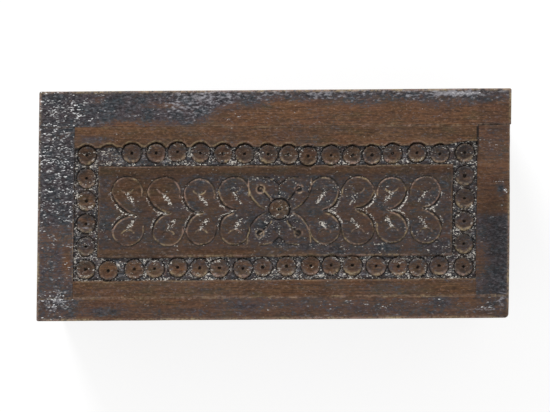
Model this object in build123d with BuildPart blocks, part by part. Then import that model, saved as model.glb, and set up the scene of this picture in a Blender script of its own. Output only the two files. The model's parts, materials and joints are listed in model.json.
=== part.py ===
from build123d import *
import math
import os

# A long wooden box whose carved lid swings on two butt hinges at the back.
# Millimetres. X runs along the front, Y points to the back and Z up.
# The origin is the middle of the underside of the bottom board.

# Lid in plan, and how far the whole box is out of square
lid_length = 300.0
lid_depth = 146.0
lean = 3.0                      # the front edge sits this far to the left of the back edge
corner_radius = 1.5             # worn upright corners
arris_radius = 1.2              # worn top edges of the lid

# Lid boards
lid_thickness = 16.0
back_rail_width = 23.0
front_rail_width = 14.5
left_stile_width = 23.0
right_stile_width = 21.3
tongue_length = 5.0             # the panel's ends are held in grooves in the stiles
tongue_thickness = 5.0
tongue_clearance = 0.2

# Box under the lid
overhang = 1.0                  # the lid stands past the walls by this much all round
wall_height = 82.0
wall_thickness = 12.0
bottom_thickness = 8.0
rim_gap = 0.3                   # between the rim and the underside of the lid

# Sunk border of the panel, and the raised field inside it
border_depth = 2.2
border_back_margin = 13.0       # from the back rail to the border
border_front_margin = 11.0
end_border_width = 15.4
back_border_width = 12.1
front_border_width = 14.5

# Rosettes standing in the border, each in its own bored ring
ring_radius = 6.9
disc_radius = 6.0
disc_drop = 1.2                 # the discs stand this far below the panel's top
dish_depth = 0.4                # and the bit left them slightly dished inside a narrow rim
dish_rim = 0.4
eye_radius = 0.8                # centre hole left by the bit
eye_depth = 1.8
row_margin = 0.2                # from the field to the rings of the long rows
back_row_steps = (14, 14.5, 15.5, 13.5, 14.5, 14.5, 13.5, 15, 13,
                  12.5, 14.5, 13.5, 12.5, 13, 15.5, 14.5, 16)
front_row_steps = (14.5, 16.5, 13, 14.5, 14, 12.5, 15, 12.5, 15,
                   15.5, 13, 13.5, 15, 14, 12.5, 13.5, 15.5)
worn_away = 1                   # this disc of the back row is gone
side_rosettes = 4               # between the corners, at each end

# Carving on the field: a rosette in the middle and curled leaves either side
middle_offset = 2.6             # the middle rosette sits this far right of the field's middle
middle_rise = 1.2               # and this far behind the leaves' axis
middle_radius = 6.2
middle_groove = 1.0
middle_groove_depth = 1.0
cut_width = 1.3                 # the outlines are cut with a V gouge
cut_depth = 0.8
cut_fade = 0.35                 # share of its width that a cut keeps at its ends
leaf_count = 4
leaf_start = 28.5               # from the middle rosette to the first pair of leaves
leaf_pitch = 22.0
leaf_radius = 10.2              # round head of a leaf
leaf_reach = 21.9               # from the axis to the top of a head
leaf_tail = (2.0, 0.8)          # tip of the tail, beyond the head's middle and off the axis
leaf_belly = (-6.4, 3.8)        # a point on the long side, likewise
leaf_side_width = 2.4           # the long side is cut wider and deeper
leaf_side_depth = 1.2
head_end_angle = 8.0            # where the head's arc stops on the inner side
nick_span = 7.0                 # a crescent nick lies across the middle of each head
nick_rise = 2.0
nick_sag = 1.6
nick_width = 1.2
nick_depth = 0.6
scoop_top = (-0.6, -0.6)        # and a scoop runs from under it towards the tail
scoop_end = (4.4, -6.8)
scoop_width = 2.4
scoop_depth = 0.9
bracket_top = (20.5, 20.0)      # the brackets beside the middle rosette, from the field's middle
bracket_waist = (16.4, 6.0)
bracket_tip = (9.2, 0.8)
dot_place = (12.2, 14.0)        # four round punches between the brackets
dot_radius = 2.0
dot_depth = 1.0
stalk_width = 2.0               # a stalk joins each punch to the middle rosette
stalk_depth = 0.9
stalk_end = 8.8                 # the stalks and stems stop this far from the middle
petal_root = 16.2               # petals part from a stem behind and before the rosette
petal_bend = (4.6, 20.2)
petal_tip = (12.3, 21.6)

# Butt hinges, let into the rim and the lid
hinge_inset = 43.0              # from the lid's end to the middle of a hinge
hinge_length = 28.0
hinge_leaf_width = 9.0
hinge_leaf_thickness = 1.0
barrel_radius = 1.6
pin_radius = 0.8
pin_clearance = 0.05
knuckle_gap = 0.15
axis_behind_wall = 0.3
barrel_room = 0.3               # wood cut clear of the barrel
mortise_clearance = 0.1
screw_spacing = 17.0
screw_length = 9.0
screw_radius = 1.0
screw_head_radius = 1.9
screw_clearance = 0.05

# Nails
nail_length = 32.0
nail_radius = 0.9
nail_head_radius = 1.8
nail_head_thickness = 0.8
nail_clearance = 0.05
wall_nail_margin = 16.0         # from the top and bottom of a wall
bottom_nail_spacing = 75.0
lid_nail_spacing = 100.0

# Levels and outlines that follow from these sizes
rim = bottom_thickness + wall_height
lid_underside = rim + rim_gap
lid_top = lid_underside + lid_thickness
lid_x = lid_length / 2
lid_y = lid_depth / 2
box_x = lid_x - overhang
box_y = lid_y - overhang
inner_x = box_x - wall_thickness
inner_y = box_y - wall_thickness
panel_left = -lid_x + left_stile_width
panel_right = lid_x - right_stile_width
panel_back = lid_y - back_rail_width
panel_front = -lid_y + front_rail_width
border_back = panel_back - border_back_margin
border_front = panel_front + border_front_margin
field_left = panel_left + end_border_width
field_right = panel_right - end_border_width
field_back = border_back - back_border_width
field_front = border_front + front_border_width
tongue_level = lid_underside + (lid_thickness - tongue_thickness) / 2
axis_y = box_y + axis_behind_wall
axis_z = rim + rim_gap / 2
lid_middle_level = lid_underside + lid_thickness / 2


def leaning(x, y):
    """Place a point of the square plan on the box as it stands, out of square."""
    return (x + lean * y / lid_depth, y)


def plan(left, right, front, back, mode=Mode.ADD):
    """Outline of a board or a cut in plan, from its four sides."""
    corners = [(left, front), (right, front), (right, back), (left, back)]
    return Polygon(*[leaning(x, y) for x, y in corners], align=None, mode=mode)


def nail_body(clearance=0.0):
    """A nail with its head at the origin, pointing down, or the hole that it makes."""
    with BuildPart() as body:
        with BuildSketch():
            Circle(nail_head_radius + clearance)
        extrude(amount=-nail_head_thickness - clearance)
        with BuildSketch():
            Circle(nail_radius + clearance)
        extrude(amount=-nail_length - clearance)
    return body.part


def screw_body(clearance=0.0):
    """A countersunk screw with its head at the origin, pointing down, or its hole."""
    head = screw_head_radius + clearance
    shank = screw_radius + clearance
    with BuildPart() as body:
        with BuildSketch(Plane.XZ):
            Polygon((0, 0), (head, 0), (shank, shank - head), (shank, -screw_length + screw_radius),
                    (0, -screw_length - clearance), align=None)
        revolve(axis=Axis.Z)
    return body.part


def finish(piece, name):
    """Name a finished piece and write it."""
    piece.part.label = name
    export_step(piece.part, f"parts/{name}.step")


os.makedirs("parts", exist_ok=True)
nail = nail_body()
nail_hole = nail_body(nail_clearance)
screw = screw_body()
screw_hole = screw_body(screw_clearance)

# Where the nails go: a plane on the surface for each, facing out
end_wall_middle = box_x - wall_thickness / 2
wall_nail_levels = (bottom_thickness + wall_nail_margin, rim - wall_nail_margin)
front_wall_nails = [Plane((*leaning(side * end_wall_middle, -box_y), level), z_dir=(0, -1, 0))
                    for side in (-1, 1) for level in wall_nail_levels]
back_wall_nails = [Plane((*leaning(side * end_wall_middle, box_y), level), z_dir=(0, 1, 0))
                   for side in (-1, 1) for level in wall_nail_levels]
long_wall_middle = box_y - wall_thickness / 2
bottom_nail_places = [leaning(step * bottom_nail_spacing, side * long_wall_middle)
                      for side in (-1, 1) for step in (-1.5, -0.5, 0.5, 1.5)]
bottom_nail_places += [(-end_wall_middle, 0), (end_wall_middle, 0)]
bottom_nail_planes = [Plane((x, y, 0), z_dir=(0, 0, -1)) for x, y in bottom_nail_places]
lid_nail_columns = (-lid_x + left_stile_width / 2, -lid_nail_spacing / 2,
                    lid_nail_spacing / 2, lid_x - right_stile_width / 2)
front_rail_nails = [Plane((*leaning(x, -lid_y), lid_middle_level), z_dir=(0, -1, 0))
                    for x in lid_nail_columns]
back_rail_nails = [Plane((*leaning(x, lid_y), lid_middle_level), z_dir=(0, 1, 0))
                   for x in lid_nail_columns]

# Where the hinges go, and the screws of their leaves
hinge_middles = {"left": leaning(-lid_x + hinge_inset, axis_y)[0],
                 "right": leaning(lid_x - hinge_inset, axis_y)[0]}
hinge_leaf_middle = axis_y - (barrel_radius + hinge_leaf_width) / 2
screw_places = [(x + side * screw_spacing / 2, hinge_leaf_middle)
                for x in hinge_middles.values() for side in (-1, 1)]
box_screw_planes = [Plane((x, y, rim), z_dir=(0, 0, 1)) for x, y in screw_places]
lid_screw_planes = [Plane((x, y, lid_underside), z_dir=(0, 0, -1)) for x, y in screw_places]
hinge_planes = [Plane((x, axis_y, axis_z), x_dir=(0, 1, 0), z_dir=(1, 0, 0))
                for x in hinge_middles.values()]


def hinge_housing():
    """The wood cut away for one hinge, about its axis: two mortises and the barrel's groove."""
    long = hinge_length / 2 + mortise_clearance
    with BuildPart() as cut:
        with BuildSketch(Plane.YZ):
            with Locations((-hinge_leaf_width - mortise_clearance, 0)):
                Rectangle(hinge_leaf_width + mortise_clearance + barrel_radius,
                          rim_gap + 2 * (hinge_leaf_thickness + mortise_clearance),
                          align=(Align.MIN, Align.CENTER))
            Circle(barrel_radius + barrel_room)
        extrude(amount=long, both=True)
    return cut.part


housing = hinge_housing()
hinge_places = [(x, axis_y, axis_z) for x in hinge_middles.values()]

# Bottom board
with BuildPart() as bottom_board:
    with BuildSketch():
        plan(-box_x, box_x, -box_y, box_y)
    extrude(amount=bottom_thickness)
    fillet(bottom_board.edges().filter_by(Axis.Z), corner_radius)
    with Locations(*bottom_nail_planes):
        add(nail_hole, mode=Mode.SUBTRACT)
finish(bottom_board, "bottom_board")

# Long walls, over the ends of the short ones
with BuildPart() as front_wall:
    with BuildSketch(Plane.XY.offset(bottom_thickness)):
        plan(-box_x, box_x, -box_y, -inner_y)
    extrude(amount=wall_height)
    fillet(front_wall.edges().filter_by(Axis.Z).group_by(Axis.Y)[0], corner_radius)
    with Locations(*front_wall_nails, *bottom_nail_planes):
        add(nail_hole, mode=Mode.SUBTRACT)
finish(front_wall, "front_wall")

with BuildPart() as back_wall:
    with BuildSketch(Plane.XY.offset(bottom_thickness)):
        plan(-box_x, box_x, inner_y, box_y)
    extrude(amount=wall_height)
    fillet(back_wall.edges().filter_by(Axis.Z).group_by(Axis.Y)[-1], corner_radius)
    with Locations(*back_wall_nails, *bottom_nail_planes):
        add(nail_hole, mode=Mode.SUBTRACT)
    with Locations(*hinge_places):
        add(housing, mode=Mode.SUBTRACT)
    with Locations(*box_screw_planes):
        add(screw_hole, mode=Mode.SUBTRACT)
finish(back_wall, "back_wall")

# Short walls, between the long ones
for name, outer, inner in (("left_wall", -box_x, -inner_x), ("right_wall", box_x, inner_x)):
    with BuildPart() as end_wall:
        with BuildSketch(Plane.XY.offset(bottom_thickness)):
            plan(outer, inner, -inner_y, inner_y)
        extrude(amount=wall_height)
        with Locations(*front_wall_nails, *back_wall_nails, *bottom_nail_planes):
            add(nail_hole, mode=Mode.SUBTRACT)
    finish(end_wall, name)

# Nails of the box
with BuildPart() as wall_nails:
    with Locations(*front_wall_nails, *back_wall_nails):
        add(nail)
finish(wall_nails, "wall_nails")

with BuildPart() as bottom_nails:
    with Locations(*bottom_nail_planes):
        add(nail)
finish(bottom_nails, "bottom_nails")

# Rails of the lid, running its full length
with BuildPart() as lid_back_rail:
    with BuildSketch(Plane.XY.offset(lid_underside)):
        plan(-lid_x, lid_x, panel_back, lid_y)
    extrude(amount=lid_thickness)
    fillet(lid_back_rail.edges().filter_by(Axis.Z).group_by(Axis.Y)[-1], corner_radius)
    rail_top = lid_back_rail.faces().sort_by(Axis.Z)[-1]
    fillet(rail_top.edges().sort_by(Axis.Y)[1:], arris_radius)
    with Locations(*back_rail_nails):
        add(nail_hole, mode=Mode.SUBTRACT)
    with Locations(*hinge_places):
        add(housing, mode=Mode.SUBTRACT)
    with Locations(*lid_screw_planes):
        add(screw_hole, mode=Mode.SUBTRACT)
finish(lid_back_rail, "lid_back_rail")

with BuildPart() as lid_front_rail:
    with BuildSketch(Plane.XY.offset(lid_underside)):
        plan(-lid_x, lid_x, -lid_y, panel_front)
    extrude(amount=lid_thickness)
    fillet(lid_front_rail.edges().filter_by(Axis.Z).group_by(Axis.Y)[0], corner_radius)
    rail_top = lid_front_rail.faces().sort_by(Axis.Z)[-1]
    fillet(rail_top.edges().sort_by(Axis.Y)[:-1], arris_radius)
    with Locations(*front_rail_nails):
        add(nail_hole, mode=Mode.SUBTRACT)
finish(lid_front_rail, "lid_front_rail")

# Stiles between the rails, each with a groove for the panel's tongue
groove_depth = tongue_length + tongue_clearance
stiles = (("lid_left_stile", -lid_x, panel_left, panel_left - groove_depth, 0),
          ("lid_right_stile", lid_x, panel_right, panel_right + groove_depth, -1))
for name, outer, inner, groove_end, outer_edge in stiles:
    with BuildPart() as stile:
        with BuildSketch(Plane.XY.offset(lid_underside)):
            plan(outer, inner, panel_front, panel_back)
        extrude(amount=lid_thickness)
        stile_top = stile.faces().sort_by(Axis.Z)[-1]
        fillet(stile_top.edges().sort_by(Axis.X)[outer_edge], arris_radius)
        with BuildSketch(Plane.XY.offset(tongue_level - tongue_clearance)):
            plan(groove_end, inner, panel_front, panel_back)
        extrude(amount=tongue_thickness + 2 * tongue_clearance, mode=Mode.SUBTRACT)
        with Locations(*front_rail_nails, *back_rail_nails):
            add(nail_hole, mode=Mode.SUBTRACT)
    finish(stile, name)


def row_places(steps, y):
    """Centres of a hand-spaced row, fitted between the middles of the two end borders."""
    start = (panel_left + field_left) / 2
    length = (panel_right + field_right) / 2 - start
    total = sum(steps)
    walked = [sum(steps[:count]) for count in range(len(steps) + 1)]
    return [leaning(start + length * distance / total, y) for distance in walked]


def column_places(x, front, back):
    """Centres of the rosettes between the two corners of an end border."""
    gap = (back - front) / (side_rosettes + 1)
    return [leaning(x, front + gap * count) for count in range(1, side_rosettes + 1)]


back_row_y = field_back + row_margin + ring_radius
front_row_y = field_front - row_margin - ring_radius
back_row = row_places(back_row_steps, back_row_y)
front_row = row_places(front_row_steps, front_row_y)
left_column = column_places((panel_left + field_left) / 2, front_row_y, back_row_y)
right_column = column_places((panel_right + field_right) / 2, front_row_y, back_row_y)
bored_places = back_row + front_row + left_column + right_column
disc_places = [place for place in bored_places if place != back_row[worn_away]]


def gouged(path, width=cut_width, depth=cut_depth):
    """The cut of a V gouge along a path drawn on the panel's top, fading out at both ends."""
    with BuildPart() as cut:
        for place, share in ((0, cut_fade), (0.5, 1), (1, cut_fade)):
            along = path % place
            with BuildSketch(Plane(path @ place, x_dir=Vector(0, 0, 1).cross(along), z_dir=along)):
                Polygon((-width * share / 2, 0), (width * share / 2, 0), (0, -depth * share), align=None)
        sweep(path=path, multisection=True)
    return cut.part


def curve(start, middle, end):
    """An arc through three points, as a path for the gouge."""
    with BuildLine() as line:
        ThreePointArc(start, middle, end)
    return line.wire()


def stroke(start, end):
    """A straight path for the gouge."""
    with BuildLine() as line:
        Line(start, end)
    return line.wire()


def leaf():
    """The cuts of one leaf about the leaf axis: round head, long side, nick and scoop."""
    head_y = leaf_reach - leaf_radius
    head_end = math.radians(head_end_angle)
    inner_end = (leaf_radius * math.cos(head_end), head_y + leaf_radius * math.sin(head_end))
    nick_level = head_y + nick_rise
    with BuildPart() as cuts:
        add(gouged(curve(inner_end, (0, leaf_reach), (-leaf_radius, head_y))))
        add(gouged(curve((-leaf_radius, head_y), leaf_belly, leaf_tail), leaf_side_width, leaf_side_depth))
        nick = curve((-nick_span / 2, nick_level), (0, nick_level - nick_sag), (nick_span / 2, nick_level))
        add(gouged(nick, nick_width, nick_depth))
        scoop = stroke((scoop_top[0], head_y + scoop_top[1]), (scoop_end[0], head_y + scoop_end[1]))
        add(gouged(scoop, scoop_width, scoop_depth))
    return cuts.part


# Carving of the field about its middle: the left back quarter, mirrored to the other three
leaf_cuts = leaf()
with BuildPart() as carving:
    with Locations(*[(-leaf_start - number * leaf_pitch, 0) for number in range(leaf_count)]):
        add(leaf_cuts)
    add(gouged(curve(bracket_top, bracket_waist, bracket_tip)))
    add(gouged(curve((0, petal_root), petal_bend, petal_tip)))
    stalk_share = stalk_end / math.hypot(*dot_place)
    add(gouged(stroke(dot_place, (dot_place[0] * stalk_share, dot_place[1] * stalk_share)),
               stalk_width, stalk_depth))
    with BuildSketch():
        with Locations(dot_place):
            Circle(dot_radius)
    extrude(amount=-dot_depth)
    mirror(about=Plane.YZ)
    add(gouged(stroke((0, petal_root), (0, stalk_end))))
    mirror(about=Plane.XZ)
    with BuildSketch():
        with Locations((0, middle_rise)):
            Circle(middle_radius + middle_groove)
            Circle(middle_radius, mode=Mode.SUBTRACT)
    extrude(amount=-middle_groove_depth)
    with BuildSketch():
        with Locations((0, middle_rise)):
            Circle(eye_radius)
    extrude(amount=-eye_depth)

middle_x = (field_left + field_right) / 2 + middle_offset
leaf_axis = (field_front + field_back) / 2

# Carved panel, with its tongues
with BuildPart() as lid_panel:
    with BuildSketch(Plane.XY.offset(lid_underside)):
        plan(panel_left, panel_right, panel_front, panel_back)
    extrude(amount=lid_thickness)
    with BuildSketch(Plane.XY.offset(tongue_level)):
        plan(panel_left - tongue_length, panel_right + tongue_length, panel_front, panel_back)
    extrude(amount=tongue_thickness)
    with BuildSketch(Plane.XY.offset(lid_top)) as border:
        plan(panel_left, panel_right, border_front, border_back)
        plan(field_left, field_right, field_front, field_back, mode=Mode.SUBTRACT)
        with Locations(*bored_places):
            Circle(ring_radius)
    extrude(amount=-disc_drop, mode=Mode.SUBTRACT)
    with BuildSketch(Plane.XY.offset(lid_top - disc_drop)):
        add(border.sketch_local)
        with Locations(*disc_places):
            Circle(disc_radius, mode=Mode.SUBTRACT)
    extrude(amount=disc_drop - border_depth, mode=Mode.SUBTRACT)
    with Locations(*[(x, y, lid_top - disc_drop) for x, y in disc_places]):
        Cone(eye_radius, disc_radius - dish_rim, dish_depth, align=(Align.CENTER, Align.CENTER, Align.MAX),
             mode=Mode.SUBTRACT)
    with BuildSketch(Plane.XY.offset(lid_top - disc_drop)):
        with Locations(*disc_places):
            Circle(eye_radius)
    extrude(amount=-eye_depth, mode=Mode.SUBTRACT)
    with Locations((*leaning(middle_x, leaf_axis), lid_top)):
        add(carving.part, mode=Mode.SUBTRACT)
    with Locations(*front_rail_nails, *back_rail_nails):
        add(nail_hole, mode=Mode.SUBTRACT)
finish(lid_panel, "lid_panel")

# Nails of the lid
with BuildPart() as lid_nails:
    with Locations(*front_rail_nails, *back_rail_nails):
        add(nail)
finish(lid_nails, "lid_nails")

# Hinges: the box's leaf carries the two outer knuckles and the pin, the lid's leaf the middle one
knuckle_length = hinge_length / 3
for side, hinge in zip(hinge_middles, hinge_planes):
    with BuildPart() as box_leaf:
        with BuildSketch(hinge):
            with Locations((-hinge_leaf_width, -rim_gap / 2)):
                Rectangle(hinge_leaf_width, hinge_leaf_thickness, align=(Align.MIN, Align.MAX))
            Circle(barrel_radius)
        extrude(amount=hinge_length / 2, both=True)
        with BuildSketch(hinge):
            Circle(barrel_radius + knuckle_gap)
        extrude(amount=knuckle_length / 2 + knuckle_gap, both=True, mode=Mode.SUBTRACT)
        with BuildSketch(hinge):
            Circle(pin_radius + pin_clearance)
        extrude(amount=hinge_length / 2, both=True, mode=Mode.SUBTRACT)
        with Locations(*box_screw_planes):
            add(screw_hole, mode=Mode.SUBTRACT)
    finish(box_leaf, f"{side}_hinge_box_leaf")

    with BuildPart() as lid_leaf:
        with BuildSketch(hinge):
            with Locations((-hinge_leaf_width, rim_gap / 2)):
                Rectangle(hinge_leaf_width, hinge_leaf_thickness, align=(Align.MIN, Align.MIN))
            Circle(barrel_radius)
        extrude(amount=hinge_length / 2, both=True)
        with BuildSketch(hinge.offset(knuckle_length / 2), hinge.offset(-hinge_length / 2)):
            Circle(barrel_radius + knuckle_gap)
        extrude(amount=(hinge_length - knuckle_length) / 2, mode=Mode.SUBTRACT)
        with BuildSketch(hinge):
            Circle(pin_radius + pin_clearance)
        extrude(amount=hinge_length / 2, both=True, mode=Mode.SUBTRACT)
        with Locations(*lid_screw_planes):
            add(screw_hole, mode=Mode.SUBTRACT)
    finish(lid_leaf, f"{side}_hinge_lid_leaf")

    with BuildPart() as pin:
        with BuildSketch(hinge):
            Circle(pin_radius)
        extrude(amount=hinge_length / 2, both=True)
    finish(pin, f"{side}_hinge_pin")

# Screws of the leaves
with BuildPart() as box_leaf_screws:
    with Locations(*box_screw_planes):
        add(screw)
finish(box_leaf_screws, "box_leaf_screws")

with BuildPart() as lid_leaf_screws:
    with Locations(*lid_screw_planes):
        add(screw)
finish(lid_leaf_screws, "lid_leaf_screws")
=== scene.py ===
import json
import math

import bpy
import numpy as np
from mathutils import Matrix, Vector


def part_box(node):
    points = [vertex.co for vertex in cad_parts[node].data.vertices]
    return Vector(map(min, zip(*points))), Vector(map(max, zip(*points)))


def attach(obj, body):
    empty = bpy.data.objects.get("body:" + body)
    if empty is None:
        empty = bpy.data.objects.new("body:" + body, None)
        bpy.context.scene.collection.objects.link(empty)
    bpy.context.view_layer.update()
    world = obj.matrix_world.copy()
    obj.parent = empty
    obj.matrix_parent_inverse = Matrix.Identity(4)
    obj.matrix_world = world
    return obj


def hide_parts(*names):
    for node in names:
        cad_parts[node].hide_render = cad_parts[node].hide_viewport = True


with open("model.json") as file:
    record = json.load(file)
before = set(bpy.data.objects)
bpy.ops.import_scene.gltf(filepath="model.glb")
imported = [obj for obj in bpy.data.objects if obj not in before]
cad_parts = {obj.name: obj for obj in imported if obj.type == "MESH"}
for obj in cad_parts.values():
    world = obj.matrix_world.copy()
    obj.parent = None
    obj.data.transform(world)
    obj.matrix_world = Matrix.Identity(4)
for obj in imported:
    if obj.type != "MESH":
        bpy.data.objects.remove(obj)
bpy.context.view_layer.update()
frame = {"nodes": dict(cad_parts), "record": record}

# The looks of an old wooden box with a carved lid. Lengths are in millimetres until a mesh is made.
mm = 0.001
nodes = frame["nodes"]
slot_of = {part["node"]: part["material_slot"] for part in frame["record"]["subparts"]}
body_of = {node: body for body, own in frame["record"]["behaviour"]["bodies"].items() for node in own}


def level(node, end):
    """Lowest (0) or highest (1) level of a CAD piece."""
    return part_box(node)[end].z / mm


# Plan of the box, as in the CAD source
lid_length = 300.0
lid_depth = 146.0
lean = 3.0                      # the front edge sits this far to the left of the back edge
back_rail_width = 23.0
front_rail_width = 14.5
left_stile_width = 23.0
right_stile_width = 21.3
tongue_length = 5.0
tongue_thickness = 5.0
overhang = 1.0
wall_thickness = 12.0
border_depth = 2.2
border_back_margin = 13.0
border_front_margin = 11.0
end_border_width = 15.4
back_border_width = 12.1
front_border_width = 14.5
ring_radius = 6.9
disc_radius = 6.0
eye_radius = 0.8
eye_depth = 1.8
ring_depth = 2.7                # the bit went deeper than the border's floor
row_margin = 0.2
middle_offset = 2.6
middle_rise = 1.2
middle_radius = 6.2
middle_groove = 1.0

# Levels and outlines that follow
lid_top = level("lid_panel", 1)
lid_underside = level("lid_panel", 0)
lid_x = lid_length / 2
lid_y = lid_depth / 2
box_x = lid_x - overhang
box_y = lid_y - overhang
inner_x = box_x - wall_thickness
inner_y = box_y - wall_thickness
panel_left = -lid_x + left_stile_width
panel_right = lid_x - right_stile_width
panel_back = lid_y - back_rail_width
panel_front = -lid_y + front_rail_width
border_back = panel_back - border_back_margin
border_front = panel_front + border_front_margin
field_left = panel_left + end_border_width
field_right = panel_right - end_border_width
field_back = border_back - back_border_width
field_front = border_front + front_border_width
middle_x = (field_left + field_right) / 2 + middle_offset
leaf_axis = (field_front + field_back) / 2

# Smooth noise, on a lattice of random values that repeats
lattice_size = 64
lattice_seed = 7
lattice = np.random.default_rng(lattice_seed).uniform(-1, 1, (lattice_size,) * 3)
seed_shift = np.array([5.13, 9.71, 3.37])
layers_sum = 1.6                # brings several layers back to about -1 to 1
patch_falloff = 1.4
# Wood grain: each board has its own part of it, and its lumps lie along it
board_shift = np.array([41.0, 17.0, 29.0])
grain_order = {"x": [0, 1, 2], "y": [1, 0, 2]}
grain_size = np.array([22, 1.3, 1.3])


def noise(points, size, seed):
    """Smooth noise from -1 to 1 at points in millimetres. size is that of its lumps, one number or one for
    each axis."""
    spot = points / np.array(size, float) + seed * seed_shift
    cell = np.floor(spot).astype(int)
    share = spot - cell
    share = share * share * (3 - 2 * share)
    total = 0
    for corner in np.ndindex(2, 2, 2):
        weight = np.prod(np.where(np.array(corner), share, 1 - share), axis=-1)
        place = (cell + corner) % lattice_size
        total = total + weight * lattice[place[..., 0], place[..., 1], place[..., 2]]
    return total


def rough(points, size, seed, layers=4):
    """Several layers of noise, each half the size and half the strength of the one before."""
    total = 0
    for layer in range(layers):
        total = total + noise(points, np.array(size, float) / 2 ** layer, seed + layer) / 2 ** layer
    return total / layers_sum


def step_up(value, low, high):
    """0 below low and 1 above high, with a soft step between."""
    share = np.clip((value - low) / (high - low), 0, 1)
    return share * share * (3 - 2 * share)


def bell(distance, width):
    """1 at no distance, fading out over a width on both sides."""
    return np.exp(-(distance / width) ** 2)


def patch(points, x, y, reach_x, reach_y):
    """1 in the middle of an oval patch of the plan, fading out at its reach along x and y."""
    away = np.hypot((points[..., 0] - x) / reach_x, (points[..., 1] - y) / reach_y)
    return np.exp(-away ** 2 * patch_falloff)


def highest(*values):
    """The highest of several values at each point."""
    return np.maximum.reduce(values)


def raised(values, points, patches):
    """Values raised to the strength of each patch, given as x, y, reach along x and y, and strength."""
    return highest(values, *[strength * patch(points, *place) for *place, strength in patches])


def added(points, patches):
    """What patches given in the same way add up to."""
    return sum(strength * patch(points, *place) for *place, strength in patches)


def lean_over(points, by=lean):
    """Lean points of the square plan over, as the box stands, or with -lean back to the square plan."""
    leaned = points.copy()
    leaned[:, 0] += by * leaned[:, 1] / lid_depth
    return leaned


def mesh_of(name, points, faces):
    """A mesh from points in millimetres."""
    mesh = bpy.data.meshes.new(name)
    mesh.from_pydata((points * mm).tolist(), [], faces)
    mesh.validate()
    return mesh


def finish(mesh, material, sharp=45):
    """The material, and smooth shading that keeps corners sharper than an angle."""
    mesh.materials.clear()
    mesh.materials.append(material)
    mesh.shade_smooth()
    mesh.set_sharp_from_angle(angle=math.radians(sharp))


def new_object(name, data):
    """An object in the scene."""
    made = bpy.data.objects.new(name, data)
    bpy.context.scene.collection.objects.link(made)
    return made


def piece_of(mesh, node):
    """A piece of the looks from a finished mesh: it stands for a CAD piece and rides on its body."""
    piece = new_object(mesh.name, mesh)
    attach(piece, body_of[node])
    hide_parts(node)


def vertex_data(mesh):
    """Points in millimetres and normals of a mesh."""
    points = np.zeros(len(mesh.vertices) * 3)
    mesh.vertices.foreach_get("co", points)
    normals = np.zeros(len(mesh.vertices) * 3)
    mesh.vertices.foreach_get("normal", normals)
    return points.reshape(-1, 3) / mm, normals.reshape(-1, 3)


def write_masks(mesh, grain_axis, seed, **masks):
    """Store the masks that the wood material reads, and each point's place along the board's grain."""
    for mask, values in masks.items():
        layer = mesh.attributes.new(mask, "FLOAT", "POINT")
        layer.data.foreach_set("value", np.clip(values, 0, 1).astype(np.float32))
    points, _ = vertex_data(mesh)
    along = points[:, grain_order[grain_axis]] + seed * board_shift
    layer = mesh.attributes.new("board", "FLOAT_VECTOR", "POINT")
    layer.data.foreach_set("vector", along.astype(np.float32).ravel())


# Node materials
class Shader:
    """Builds the nodes of a material or of the world in few words."""

    def __init__(self, owner):
        owner.use_nodes = True
        self.tree = owner.node_tree
        self.tree.nodes.clear()

    def node(self, kind, inputs, **settings):
        made = self.tree.nodes.new("ShaderNode" + kind)
        for key, value in settings.items():
            setattr(made, key, value)
        for key, value in inputs.items():
            if isinstance(value, bpy.types.NodeSocket):
                self.tree.links.new(value, made.inputs[key])
            else:
                made.inputs[key].default_value = value
        return made

    def mask(self, name):
        return self.node("Attribute", {}, attribute_name=name).outputs["Fac"]

    def stretched(self, vector, scale):
        return self.node("Mapping", {"Vector": vector, "Scale": scale}).outputs["Vector"]

    def noise(self, vector, scale, detail=4, roughness=0.6):
        inputs = {"Vector": vector, "Scale": scale, "Detail": detail, "Roughness": roughness}
        return self.node("TexNoise", inputs).outputs["Fac"]

    def flakes(self, vector, scale, ripple):
        """A value of its own for each of many small flakes with rippled outlines."""
        waves = self.node("TexNoise", {"Vector": vector, "Scale": scale, "Detail": 2}).outputs["Color"]
        rippled = self.node("VectorMath", {0: waves, 1: (ripple,) * 3, 2: vector}, operation="MULTIPLY_ADD")
        return self.node("TexVoronoi", {"Vector": rippled.outputs[0], "Scale": scale}).outputs["Color"]

    def math(self, operation, first, second):
        return self.node("Math", {0: first, 1: second}, operation=operation).outputs[0]

    def plus(self, first, second):
        return self.math("ADD", first, second)

    def times(self, first, second):
        return self.math("MULTIPLY", first, second)

    def swing(self, value, strength):
        """How far a value lies from one half, times a strength."""
        return self.times(self.math("SUBTRACT", value, 0.5), strength)

    def step(self, value, low, high, out_low=0.0, out_high=1.0):
        """A value spread from low to high onto the out range, held at its ends."""
        inputs = {"Value": value, "From Min": low, "From Max": high, "To Min": out_low, "To Max": out_high}
        return self.node("MapRange", inputs).outputs["Result"]

    def blend(self, share, first, second):
        return self.node("Mix", {0: share, 6: first, 7: second}, data_type="RGBA").outputs[2]

    def coated(self, colour, coats):
        """A colour under coats of others, each where its value runs from low to high, up to a strength."""
        for value, low, high, strength, coat in coats:
            colour = self.blend(self.step(value, low, high, 0.0, strength), colour, coat)
        return colour

    def bump(self, height, strength, distance, normal=None):
        inputs = {"Height": height, "Strength": strength, "Distance": distance}
        if normal is not None:
            inputs["Normal"] = normal
        return self.node("Bump", inputs).outputs["Normal"]

    def seen(self):
        """1 for rays from the camera, reflections and glass, which show the backdrop, and 0 for light."""
        path = self.node("LightPath", {})
        sight = self.math("MAXIMUM", path.outputs["Is Camera Ray"], path.outputs["Is Glossy Ray"])
        return self.math("MAXIMUM", sight, path.outputs["Is Transmission Ray"])

    def close(self, **sockets):
        """End with the shader and the output. A name's underscores stand for spaces."""
        inputs = {key.replace("_", " "): value for key, value in sockets.items()}
        shader = self.node("BsdfPrincipled", inputs)
        self.node("OutputMaterial", {"Surface": shader.outputs["BSDF"]})


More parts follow.
